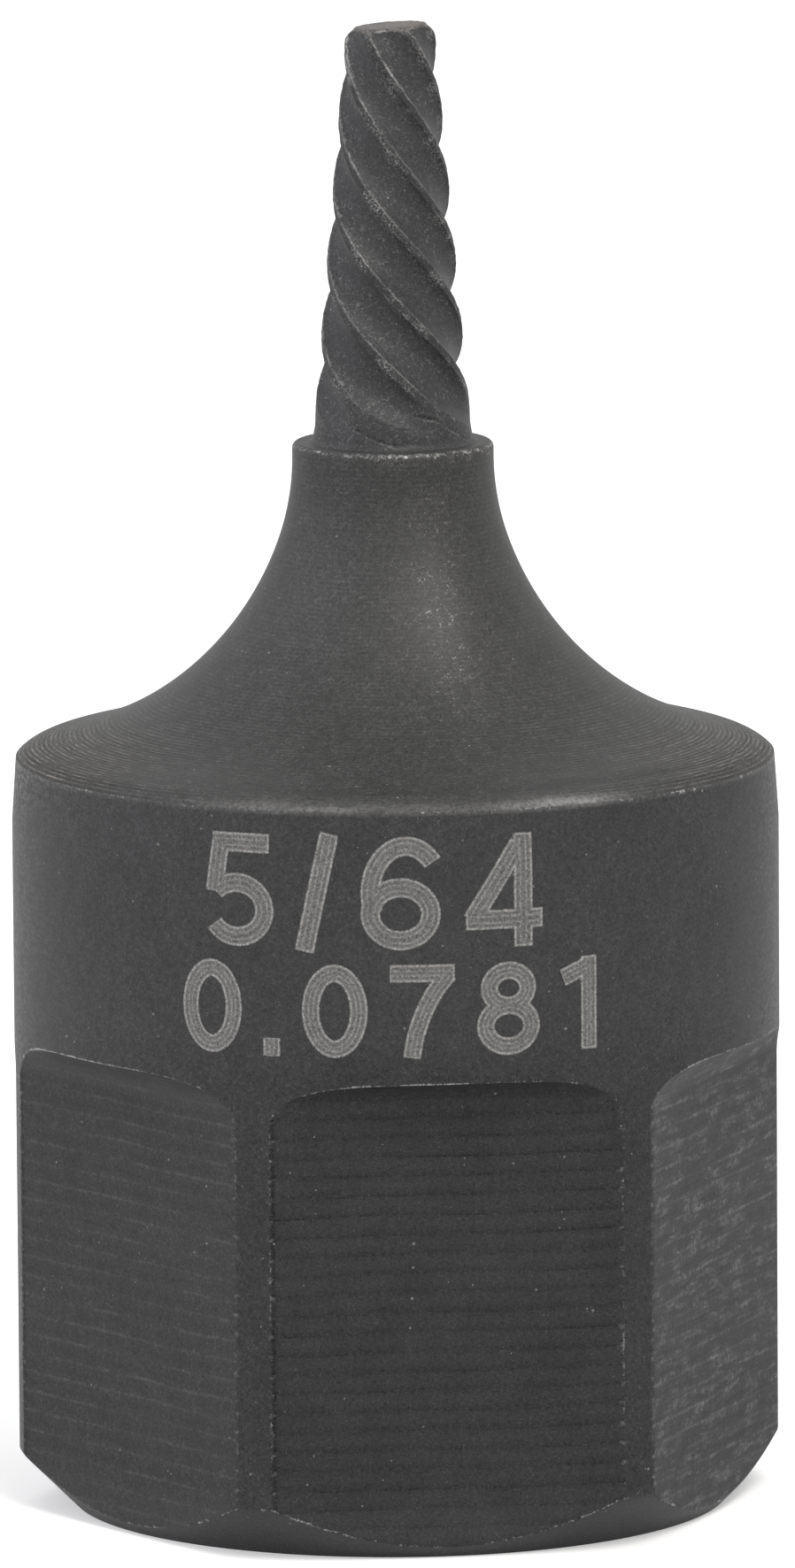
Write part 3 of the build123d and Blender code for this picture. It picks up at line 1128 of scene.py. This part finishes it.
def studio_white():
    """Floor paint that is seen white, keeps soft shadows, and is clear from below."""
    material, n = new_material("studio_white")
    seen = n.seen_or_mirrored()
    white = n.principled(
        {
            "Base Color": n.mix(seen, grey(0.55), grey(0.8)),
            "Roughness": 1.0,
            "Specular IOR Level": 0.0,
            "Emission Color": grey(1.0),
            "Emission Strength": seen * 0.35,
        }
    )
    clear = n.add("ShaderNodeBsdfTransparent")
    below = n.add("ShaderNodeNewGeometry", output="Backfacing")
    surface = n.add("ShaderNodeMixShader", {0: below, 1: white, 2: clear})
    n.node("ShaderNodeOutputMaterial", {"Surface": surface})
    return material


def floor():
    """A studio floor with a hole under the part, for its underside to be looked at."""
    sides, hole, reach, height = 96, 7.5 * MM, 3.0, 0.02 * MM
    turns = np.arange(sides) * 360.0 / sides
    corners = [(r * cosd(turn), r * sind(turn), height) for r in (hole, reach) for turn in turns]
    after = [(i + 1) % sides for i in range(sides)]
    faces = [(i, i + sides, j + sides, j) for i, j in enumerate(after)]
    mesh = bpy.data.meshes.new("floor")
    mesh.from_pydata(corners, [], faces)
    mesh.materials.append(studio_white())
    piece = bpy.data.objects.new("floor", mesh)
    bpy.context.scene.collection.objects.link(piece)


def world_light():
    """White where it is seen or mirrored. Its soft light comes most from above and behind.

    As much comes from below, where the floor keeps it from the part's visible sides.
    """
    world = bpy.data.worlds.new("studio")
    bpy.context.scene.world = world
    towards_back, towards_poles, all_round = (-0.09, 0.22, 0.0), (0.0, 0.0, 0.4), 0.54
    n = Nodes(world)
    direction = n.add("ShaderNodeTexCoord", output="Generated")
    sides = n.vector("DOT_PRODUCT", direction, towards_back)
    rise = n.vector("DOT_PRODUCT", n.vector("ABSOLUTE", direction), towards_poles)
    lit, plain = (
        n.add("ShaderNodeBackground", {"Color": grey(1.0), "Strength": strength})
        for strength in (sides + rise + all_round, 1.0)
    )
    surface = n.add("ShaderNodeMixShader", {0: n.seen_or_mirrored(), 1: lit, 2: plain})
    n.node("ShaderNodeOutputWorld", {"Surface": surface})


def softbox(name, place, size, power, colour, target=(0.0, 0.0, 0.017)):
    """A square studio lamp at a place in metres, turned to the part."""
    light = bpy.data.lights.new(name, "AREA")
    light.color = colour
    light.size = size
    light.energy = power
    lamp = bpy.data.objects.new(name, light)
    lamp.location = place
    lamp.rotation_mode = "QUATERNION"
    lamp.rotation_quaternion = (Vector(target) - Vector(place)).to_track_quat("-Z", "Y")
    bpy.context.scene.collection.objects.link(lamp)


def lights():
    softbox("key_softbox", (0.1, -0.25, 0.38), 0.2, 1.25, (1.0, 0.98, 0.94))
    softbox("side_softbox", (-0.38, 0.0, 0.22), 0.25, 0.54, (0.9, 0.9, 1.0))


def camera():
    """Looks down a little at the part, at the photograph's angle, distance and roll."""
    azimuth, elevation, roll = -8.07, 8.87, 0.399
    distance, lens = 400.0, 391.2
    pivot = Vector((0.0, 0.0, 18.0))
    aim_right, aim_up = 0.054, -1.033
    level = cosd(elevation)
    back = Vector((sind(azimuth) * level, -cosd(azimuth) * level, sind(elevation)))
    right = Vector((cosd(azimuth), sind(azimuth), 0.0))
    sight = pivot + right * aim_right + back.cross(right) * aim_up - (pivot + back * distance)
    data = bpy.data.cameras.new("camera")
    data.lens = lens
    data.sensor_width = 36.0
    data.clip_start, data.clip_end = 0.01, 20.0
    seen = bpy.data.objects.new("camera", data)
    bpy.context.scene.collection.objects.link(seen)
    turn = sight.to_track_quat("-Z", "Y").to_matrix().to_4x4()
    tipped = Matrix.Rotation(np.radians(-roll), 4, "Z")
    seen.matrix_world = Matrix.Translation((pivot + back * distance) * MM) @ turn @ tipped
    bpy.context.scene.camera = seen


body, crown_start = extractor()
body.data.materials.append(black_steel())
marking(crown_start).data.materials.append(etched_steel())
floor()
world_light()
lights()
camera()
bpy.context.scene.view_settings.view_transform = "Standard"
